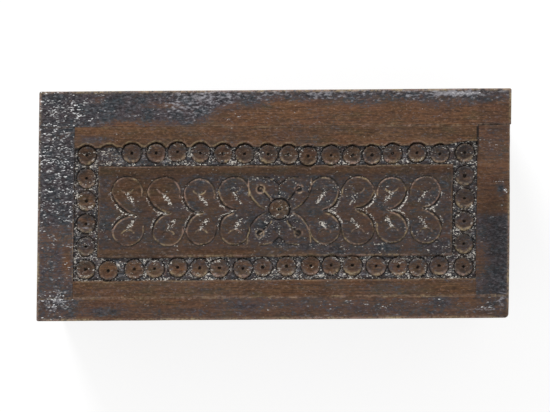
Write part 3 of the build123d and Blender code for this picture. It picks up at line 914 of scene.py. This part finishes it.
# Field and border
hand = 0.32 * rough(grid, 7, 101)
hand_across = 0.32 * rough(grid, 7, 111)
grain_wear = 0.03 * rough(grid, grain_size, 121, 3)
depth = skin_gap + 0.03 + np.maximum(0.06 * rough(grid, (30, 18, 18), 131) + grain_wear, -0.02)
flare = 2.6 * step_up(u, 104, 122)
border_edge = outside_of(u + hand, v + hand_across - flare * (v > 0), panel_left - 9, panel_right + 9,
                         border_front, border_back)
field_edge = outside_of(u + hand, v + hand_across, field_left, field_right, field_front, field_back)
in_border = wall(np.maximum(border_edge, -field_edge), 0.7)
floor_wear = 0.22 * rough(grid, (4, 3, 4), 141)
sunk = in_border * (border_depth - 0.25 + floor_wear)
disc_share, disc_depth, front_rim_wear_and_highlight, moat_shadow, rim_paint = np.zeros((5, *u.shape))
unround = 0.8 * hand + 0.3 * rough(grid, 3, 261, 2)
disc_wear = 0.12 * rough(grid, 3, 211)
moat_shadow_strength = np.clip(0.8 + 0.9 * rough(grid, 4, 281, 2), 0.2, 1)
random = np.random.default_rng(disc_seed)
# Each ring and disc has its own size, and each disc its own depth and tilt
for number, (x, y) in enumerate(rosettes):
    away = np.hypot(u - x, v - y) + unround
    angle = np.arctan2(v - y, u - x)
    rise = np.sin(angle)
    ring = ring_radius + random.uniform(-0.1, 0.15)
    sunk = np.maximum(sunk, wall(away - ring, 0.6) * (ring_depth + 0.5 * floor_wear))
    room = sorted(math.dist((x, y), other) for other in rosettes)[1]
    radius = min(disc_radius + random.uniform(-0.15, 0.3), room / 2 - 0.3)
    drop = random.uniform(1.3, 1.8)
    tilt = random.uniform(-0.04, 0.04, 2)
    if number == worn_away:
        continue
    share = wall(away - radius, 0.55)
    dish = 0.5 * (1 - away / radius) + 0.9 * step_up(away / radius, 0.9, 1.08)
    hairs = 0.09 * np.sin(angle * 23 + number) + 0.07 * np.sin(angle * 41 + 2 * number)
    top = drop + dish + (u - x) * tilt[0] + (v - y) * tilt[1] + hairs + disc_wear
    eye = np.clip((eye_radius + 0.3 - away) / 0.3, 0, 1)
    top = np.maximum(top, eye * (drop + eye_depth))
    disc_depth = np.where(share > disc_share, top, disc_depth)
    disc_share = np.maximum(disc_share, share)
    # The pale front rim of each disc: partly worn wood and partly a painted highlight.
    front_rim_wear_and_highlight = np.maximum(front_rim_wear_and_highlight, share * step_up(away / radius, 0.55, 0.88) * step_up(-rise, 0.1, 0.9))
    rim_paint = np.maximum(rim_paint, share * step_up(away / radius, 0.6, 0.92))
    # Painted shadow in the ring round each disc, strongest behind and in front of it, weaker at its sides,
    # and black in its eye.
    shade = (0.08 + 0.84 * rise ** 2) * moat_shadow_strength
    moat_shadow = highest(moat_shadow, bell(away - radius - 0.45, 0.5) * shade, 1.5 * eye)
bevel = np.clip((v - field_front) / 1.3, 0, 1)
bevel = np.where(field_edge < 0.5, 0.8 * (1 - bevel), 0)
sunk = np.maximum(sunk, bevel) * (1 - disc_share) + disc_share * disc_depth
depth = np.maximum(depth, sunk)

# Leaves, brackets, petals, punches and the middle rosette
cuts, shoulder, pale_rim, cut_shadow, paint_left = np.zeros((5, *u.shape))
beside_cut = 4                  # how much wider than a cut the strip is that it changes


def raise_near(layer, near, values):
    """Raise a layer to values where it lies near a cut."""
    layer[near] = np.maximum(layer[near], values)


def carve(line, width, cut, steep_side, fade, paint):
    """One stroke of the gouge along a line, given about the middle rosette and the leaf axis.

    cut is its depth. Its steep side (1 left, -1 right, 0 none) has a rim that is worn bare, and paint stays
    on the other, as strong as paint says. fade is the share of its width that is left at its ends."""
    line = np.array(line, float) + (middle_x, leaf_axis)
    flat = np.column_stack([line, np.zeros(len(line))])
    line += 0.28 * np.column_stack([rough(flat, 6, 231, 2), rough(flat, 6, 241, 2)])
    near, aside, half = gouge(line, width + beside_cut, fade)
    half = half * width / (width + beside_cut)
    inward = aside * steep_side if steep_side else -np.abs(aside)
    lies = inward / half
    steep = abs(steep_side)
    if steep:
        share = np.where(lies > 0.5, (1 - lies) / 0.5, (1 + lies) / 1.5)
        raise_near(pale_rim, near, bell(inward - 0.95 * half, 0.4))
        raise_near(shoulder, near, np.where(inward < 0, bell(aside, half + 0.9), 0))
    else:
        share = 1 + lies
    raise_near(cuts, near, cut * np.clip(share, 0, 1) ** 0.8)
    # Painted shade: a dark line in the cut, towards its steep side.
    raise_near(cut_shadow, near, bell(lies - 0.3 * steep, 0.55 * min(1, 1.9 / width)))
    raise_near(paint_left, near, paint * bell(lies + 0.55 * steep, 0.95 - 0.35 * steep))


def carve_leaf(x, y, radius, tail_x, tail_y):
    """One leaf: round head, long side to its tail near the axis, nick and scoop."""
    middle = np.array([x, y])
    tail = np.array([tail_x, tail_y])
    ways = np.sign([-x, y])     # towards the middle rosette, and away from the axis
    steep_side = ways.prod()
    head_end = math.radians(-12)
    head = middle + ways * radius * [(math.cos(head_end), math.sin(head_end)), (0, 1), (-1, 0)]
    carve(arc_points(*head, 41), 1.7, 0.85, steep_side, 0.55, 0.3)
    belly = (head[2] + tail) / 2 - ways * (2.6, 2.4)
    carve(arc_points(head[2], belly, tail, 31), 3.3, 1.3, steep_side, 0.4, 0.9)
    nick = middle + np.array([(-3.4, 1.9), (0, 0.4), (3.4, 1.9)]) * (1, ways[1])
    carve(arc_points(*nick), 1.3, 0.6, -ways[1], 0.5, 0.4)
    carve(middle + ways * [(-0.6, -0.4), (4.4, -6.9)], 4.2, 0.7, 0, 0.5, 0.95)


for leaf in leaves:
    carve_leaf(*leaf)
for upward, stem_end in ((1, 8.8), (-1, -7.5)):
    carve([(0, upward * 16.2), (0, stem_end)], 2.2, 0.7, 0, 0.5, 0.75)
    for across in (-1, 1):
        side = -across * upward
        ways = np.array([across, upward])
        carve(arc_points(*ways * [(20.5, 20), (16.4, 6), (9.2, 0.8)]), 1.8, 0.95, side, 0.5, 0.3)
        petal = arc_points(*ways * [(0, 16.2), (4.6, 20.2), (12.3, 21.6)])
        carve(petal[:13], 1.7, 0.8, 0, 0.6, 0.55)
        carve(petal[11:], 1.6, 0.8, side, 0.5, 0.3)
        carve(ways * [(12.2, 14), (5.8, 6.7)], 2.6, 0.95, side, 0.6, 0.3)
        punch = np.hypot(u - middle_x - across * 12.2, v - leaf_axis - upward * 14)
        cuts = np.maximum(cuts, wall(punch - 2.0, 0.8))
        pale_rim = np.maximum(pale_rim, bell(punch - 2.6, 0.45))
        # Painted shade in the punched hole.
        cut_shadow = np.maximum(cut_shadow, wall(punch - 1.6, 0.9))
from_x, from_y = u - middle_x, v - leaf_axis - middle_rise
from_middle = np.hypot(from_x, from_y) + 0.4 * hand
thicker = 0.5 + 0.9 * np.maximum(np.cos(np.arctan2(from_y, from_x) - 1.0), 0)
ring = wall(np.abs(from_middle - middle_radius - middle_groove / 2) - middle_groove / 2 * thicker, 0.5)
eye = np.clip((eye_radius + 0.3 - from_middle) / 0.35, 0, 1)
on_rosette = wall(from_middle - middle_radius + 0.3, 1.0) * (1 - eye)
cuts = highest(cuts, 1.1 * ring, eye_depth * eye)
# Painted shade in the middle rosette's ring and eye.
cut_shadow = highest(cut_shadow, ring, eye)
pale_rim = highest(pale_rim, 0.1 * on_rosette)
on_field = wall(field_edge + 0.4, 0.5)
depth = np.maximum(depth + 0.3 * shoulder * on_field, cuts * on_field + skin_gap)
depth = depth + 0.12 * on_field * np.maximum(rough(grid, (3.5, 2.2, 3), 171), 0)
depth = depth + 0.3 * np.clip(blurred(depth, 3) - depth - 0.1, 0, 0.6)

# Masks of the panel, each from 0 to 1 as for the boards
hollow = depth - blurred(depth, 4)
wide_hollow = depth - blurred(depth, 9)
floor_share = step_up(depth, 1.1, 1.7) * in_border * (1 - disc_share)
wander = rough(grid, (16, 6, 13), 151)
spots = rough(grid, (5, 4, 5), 161)
in_field = field_edge < 0
on_disc = disc_share > 0.5
carved_paint = on_field * paint_left
field_patches = ((60, -27, 70, 4, 0.3), (-108, -12, 7, 16, 0.35), (-93, 9, 16, 12, -0.5),
                 (-70, 9, 14, 12, -0.25), (middle_x, leaf_axis, 30, 22, 0.22))
margin_patches = ((-116, 42, 13, 3, 0.6), (60, -53, 50, 4, 0.2))
field_slate = 0.42 + 0.36 * wander + added(grid, field_patches) - 0.5 * on_rosette
bare_front = step_up(-v + 2 * wander, 26, 29) * step_up(-u, -22, -8)
field_slate -= 0.45 * step_up(v + 2 * wander, 18, 21) + 0.4 * bare_front
margin_slate = 0.08 + 0.26 * wander + added(grid, margin_patches)
panel_slate = np.where(in_field, field_slate, margin_slate)
panel_slate = panel_slate * (1 - floor_share) + floor_share * 0.64
left_discs = patch(grid, field_left - 8, -19, 9, 14)
disc_slate = 0.15 + 0.3 * wander + 0.2 * step_up(u, 60, 110) + 0.5 * left_discs
ragged = rim_paint * np.clip(0.7 + 1.4 * rough(grid, 2.2, 291, 2), 0, 1)
panel_slate = np.where(on_disc, disc_slate + 0.42 * ragged, panel_slate)
front_line = bell(v - border_front - 0.3, 0.55) * (border_edge < 1.5)
panel_fleck = 0.08 + 0.1 * spots + np.where(in_field, 0.08 + 0.2 * step_up(panel_slate, 0.4, 0.7), 0)
panel_fleck = highest(panel_fleck, floor_share * (0.5 + 0.3 * spots), carved_paint * (0.86 + 0.3 * spots))
panel_fleck = np.where(on_disc, 0.2 + 0.3 * rough(grid, 4, 221) + 0.26 * ragged, panel_fleck)
panel_fleck = highest(panel_fleck, (0.42 + 0.3 * spots) * on_rosette, front_line * (0.7 + 0.4 * spots))
panel_chalk = np.where(in_field, 0.16 + 0.16 * wander, 0) + 0.38 * floor_share
panel_chalk = np.maximum(panel_chalk, carved_paint * (0.4 + 0.3 * spots))
panel_chalk = np.where(on_disc, 0.14 + 0.2 * spots + 0.3 * left_discs, panel_chalk)
rim_wear = on_field * pale_rim * np.clip(0.62 + 1.2 * rough(grid, 5, 181), 0.08, 1)
edge_wear = np.clip(0.7 + 1.2 * rough(grid, (12, 9, 5), 191), 0.1, 1)
back_lip = step_up(v, border_back - 1.5, border_back + 0.5) * np.clip(-hollow * 2.4 - 0.4, 0, 0.6)
front_bevel = 0.75 * bell(v - field_front - 0.75, 0.6) * (field_edge < 0.3)
# Pale worn edges and rims; on the discs' front rims partly a painted highlight.
panel_edge = np.clip(-hollow - 0.1, 0, 0.4) * edge_wear + 0.62 * front_rim_wear_and_highlight * (0.85 + 1.3 * spots) + rim_wear
joint = step_up(np.maximum(v - panel_back, panel_front - v), -0.6, -0.1) * joint_strength(u, v)
joint = joint * (0.3 + 0.8 * rough(grid, 3, 271))
panel_edge = highest(panel_edge, back_lip, front_bevel * edge_wear, joint)
# Painted shade: darker where the surface lies below its surroundings, and along the dark lines in the cuts.
panel_dirt_and_shade = np.clip(hollow * 1.4, 0, 0.8) + np.clip(wide_hollow * 0.25, 0, 0.2) + on_field * cut_shadow
in_back_row = step_up(v, field_back - 2, field_back)
# The discs' darkening; its extra strength in the back row is painted shade under the back wall.
disc_dirt_and_shade = 0.05 + 0.13 * in_back_row + 0.5 * rough(grid, 2.2, 201, 2)
# Painted shadow in the rings round the discs, left off their front rims; the field is darker all over.
panel_dirt_and_shade += np.where(on_disc, disc_dirt_and_shade, 0.03 + 0.3 * in_field) + 0.85 * moat_shadow * (1 - front_rim_wear_and_highlight)
panel_dirt_and_shade += 0.16 * on_field * step_up(v, field_back - 9, field_back - 6)
panel_dirt_and_shade += on_rosette * (0.34 + 0.5 * rough(grid, 2.2, 251, 2))
# The sunk border's floor is darker, more in its end columns; its extra darkening in the back row is painted
# shade under the back wall.
panel_dirt_and_shade += in_border * (0.08 + 0.14 * step_up(-u, -field_left - 1, -field_left + 1)
                           + 0.24 * step_up(u, field_right - 1, field_right + 1) + 0.12 * in_back_row)
panel_dirt_and_shade += 0.9 * step_up(u, panel_right - 1.0, panel_right - 0.5) * step_up(v, 20, 36)
panel_dirt_and_shade = panel_dirt_and_shade * (1 - 0.6 * paint_left) * (1 - 0.8 * rim_wear)

# The panel's mesh: carved top, plain sides and underside
top_points = np.stack([u, v, lid_top - depth], -1).reshape(-1, 3)
index = np.arange(u.size).reshape(u.shape)
rim_loop = np.concatenate([index[:, 0], index[-1, 1:], index[-2::-1, -1], index[0, -2:0:-1]])
tongue_low = lid_underside + (lid_top - lid_underside - tongue_thickness) / 2
tongue_taper = 0.1
tongue_high = tongue_low + tongue_thickness
# Levels down the sides, and how far the ends reach out there as tongues
side_levels = ((tongue_high - skin_gap, 0), (tongue_high - tongue_taper, tongue_length),
               (tongue_low + tongue_taper, tongue_length), (tongue_low + skin_gap, 0),
               (lid_underside + skin_gap, 0))
rim = top_points[rim_loop]
at_end = (rim[:, 0] >= u_lines[-1]).astype(float) - (rim[:, 0] <= u_lines[0])
skirt = [np.column_stack([rim[:, 0] + at_end * reach, rim[:, 1], np.full(len(rim), height)])
         for height, reach in side_levels]
all_points = np.concatenate([top_points, *skirt])
quads = [np.stack([index[:-1, :-1], index[1:, :-1], index[1:, 1:], index[:-1, 1:]], -1).reshape(-1, 4)]
loops = [rim_loop, *np.arange(len(top_points), len(all_points)).reshape(len(side_levels), -1)]
for upper, lower in zip(loops, loops[1:]):
    quads.append(np.stack([upper, lower, np.roll(lower, -1), np.roll(upper, -1)], -1))
faces = np.concatenate(quads).tolist()
faces.append(loops[-1][::-1].tolist())
panel_mesh = mesh_of("carved_panel", lean_over(all_points), faces)
finish(panel_mesh, wood_materials[slot_of["lid_panel"]], 60)
plain_points = len(all_points) - len(top_points)
# Each mask's values on the carved top, and its one value for the sides and the underside
panel_masks = dict(slate=(panel_slate, 0.1), fleck=(panel_fleck, 0.1), chalk=(panel_chalk, 0.05),
                   edge=(panel_edge, 0.0), dirt=(panel_dirt_and_shade, 0.36))
for mask, (values, elsewhere) in panel_masks.items():
    panel_masks[mask] = np.concatenate([values.ravel(), np.full(plain_points, elsewhere)])
write_masks(panel_mesh, "x", panel_seed, **panel_masks)
piece_of(panel_mesh, "lid_panel")

# Floor, light and camera
floor_half = 3000
floor_level = -0.05             # just clear of the nail heads in the underside
floor_corners = np.array([(-1, -1, 0), (1, -1, 0), (1, 1, 0), (-1, 1, 0)]) * floor_half
floor_mesh = mesh_of("floor", floor_corners + (0, 0, floor_level), [(0, 1, 2, 3)])
floor = new_object("floor", floor_mesh)
floor_material = bpy.data.materials.new("floor")
floor_shader = Shader(floor_material)
plain = floor_shader.node("BsdfDiffuse", {"Color": (0.82, 0.82, 0.82, 1)})
faint = floor_shader.node("BsdfDiffuse", {"Color": (0.36, 0.36, 0.36, 1)})
glow = floor_shader.node("Emission", {"Color": (1, 1, 1, 1), "Strength": 0.76})
lifted = floor_shader.node("AddShader", {0: faint.outputs[0], 1: glow.outputs[0]})
both = floor_shader.node("MixShader", {0: floor_shader.seen(), 1: plain.outputs[0], 2: lifted.outputs[0]})
floor_shader.node("OutputMaterial", {"Surface": both.outputs[0]})
floor_mesh.materials.append(floor_material)

scene = bpy.context.scene
scene.view_settings.view_transform = "Standard"
world = bpy.data.worlds.new("world")
scene.world = world
ambient = 0.5
sky = Shader(world)
sky_strength = sky.step(sky.seen(), 0, 1, ambient, 1)
backdrop = sky.node("Background", {"Color": (1, 1, 1, 1), "Strength": sky_strength})
sky.node("OutputWorld", {"Surface": backdrop.outputs[0]})


def lamp(name, place, size, power):
    """A square soft lamp that faces the middle of the lid."""
    data = bpy.data.lights.new(name, "AREA")
    data.size = size
    data.energy = power
    made = new_object(name, data)
    made.location = place
    direction = np.array([0, 0, lid_top * mm]) - place
    made.rotation_euler = (math.acos(-direction[2] / np.linalg.norm(direction)), 0,
                           math.atan2(-direction[0], direction[1]))


lamp("key", (-0.5, 1.25, 1.05), 0.5, 14.5)
lamp("fill", (0.5, -0.9, 1.6), 1.2, 5.0)

image_width = 550
lid_pixels = 473                # length of the lid in the photograph
lid_middle_pixel = (274, 204.75)
image_middle_pixel = (275, 206)
turn = -0.0074                  # the back edge rises to the right
camera_height = 1.1
camera_data = bpy.data.cameras.new("camera")
camera = new_object("camera", camera_data)
scene.camera = camera
pixel = lid_length * mm / lid_pixels
view_width = image_width * pixel
camera_data.sensor_width = 36.0
camera_data.lens = camera_data.sensor_width * camera_height / view_width
shift_right = (image_middle_pixel[0] - lid_middle_pixel[0]) * pixel
shift_front = (image_middle_pixel[1] - lid_middle_pixel[1]) * pixel
camera.location = (shift_right, -shift_front, lid_top * mm + camera_height)
camera.rotation_euler = (0, 0, turn)
